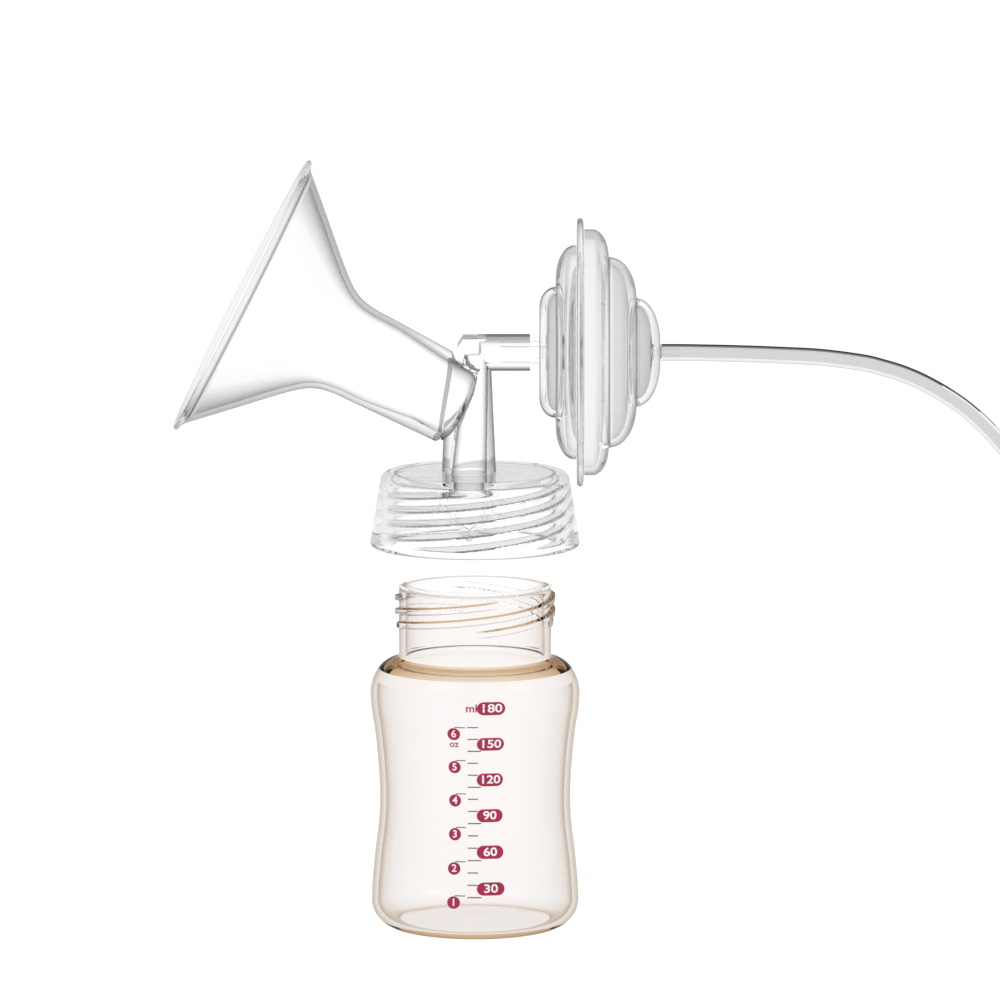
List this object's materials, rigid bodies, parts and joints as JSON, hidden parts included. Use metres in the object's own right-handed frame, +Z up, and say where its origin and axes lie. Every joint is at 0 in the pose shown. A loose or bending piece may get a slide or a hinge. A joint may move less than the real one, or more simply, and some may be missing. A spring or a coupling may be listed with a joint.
{
  "type": "breast pump collection kit",
  "caption": "Clear wide-neck breast pump collection kit: shield, body, duckbill valve, lobed backflow protector and air tube, held above the graduated bottle it screws onto.",
  "frame": {"origin": "centre of the bottle's flat base, on the surface it stands on", "axes": "+Z up along the bottle, +X from the body towards the backflow protector and air tube, the shield on the -X side"},
  "size_m": [0.3685, 0.1116, 0.2472],
  "materials": {
    "amber_bottle": "clear pale amber, polished",
    "scale_print": "printed crimson ink",
    "clear_body": "clear, polished",
    "clear_shield": "clear, polished",
    "clear_protector": "clear, polished",
    "clear_silicone": "clear silicone, slightly cloudy",
    "membrane_silicone": "translucent silicone, satin",
    "tube_silicone": "clear silicone tubing",
    "white_trim": "satin white"
  },
  "bodies": {
    "pump_head": {"pump_body": "clear_body"},
    "shield": {"breast_shield": "clear_shield"},
    "valve": {"duckbill_valve": "clear_silicone"},
    "protector_base": {"backflow_base": "clear_protector"},
    "membrane": {"membrane_rim": "membrane_silicone"},
    "diaphragm": {"membrane_dome": "membrane_silicone"},
    "protector_cap": {"backflow_cap": "clear_protector", "air_tube": "tube_silicone", "tube_coil": "tube_silicone", "tube_end": "tube_silicone", "tube_tie": "white_trim", "pump_connector": "white_trim"},
    "neck_seal": {"bottle_seal": "clear_silicone"},
    "bottle": {"bottle": "amber_bottle"}
  },
  "joints": [
    {"name": "bottle_lift", "type": "slide", "parent": "pump_head", "child": "neck_seal", "axis": [0, 0, 1], "range_m": [0, 0.0332]},
    {"name": "bottle_turn", "type": "hinge", "parent": "neck_seal", "child": "bottle", "pos_m": [0, 0, 0.11], "axis": [0, 0, 1], "range_deg": [0, 680]},
    {"name": "shield_pull", "type": "slide", "parent": "pump_head", "child": "shield", "axis": [-0.8918, 0, 0.4524], "range_m": [0, 0.03]},
    {"name": "valve_pull", "type": "slide", "parent": "pump_head", "child": "valve", "axis": [0, 0, -1], "range_m": [0, 0.012]},
    {"name": "protector_pull", "type": "slide", "parent": "pump_head", "child": "protector_base", "axis": [1, 0, 0], "range_m": [0, 0.018]},
    {"name": "membrane_pull", "type": "slide", "parent": "protector_base", "child": "membrane", "axis": [1, 0, 0], "range_m": [0, 0.012]},
    {"name": "diaphragm_stroke", "type": "slide", "parent": "membrane", "child": "diaphragm", "axis": [1, 0, 0], "range_m": [-0.001, 0.007], "stiffness_N_per_m": 60},
    {"name": "protector_cap_pull", "type": "slide", "parent": "membrane", "child": "protector_cap", "axis": [1, 0, 0], "range_m": [0, 0.012]}
  ],
  "couplings": [
    {"joint": "bottle_turn", "follows": "bottle_lift", "rad_per_m": 357}
  ]
}
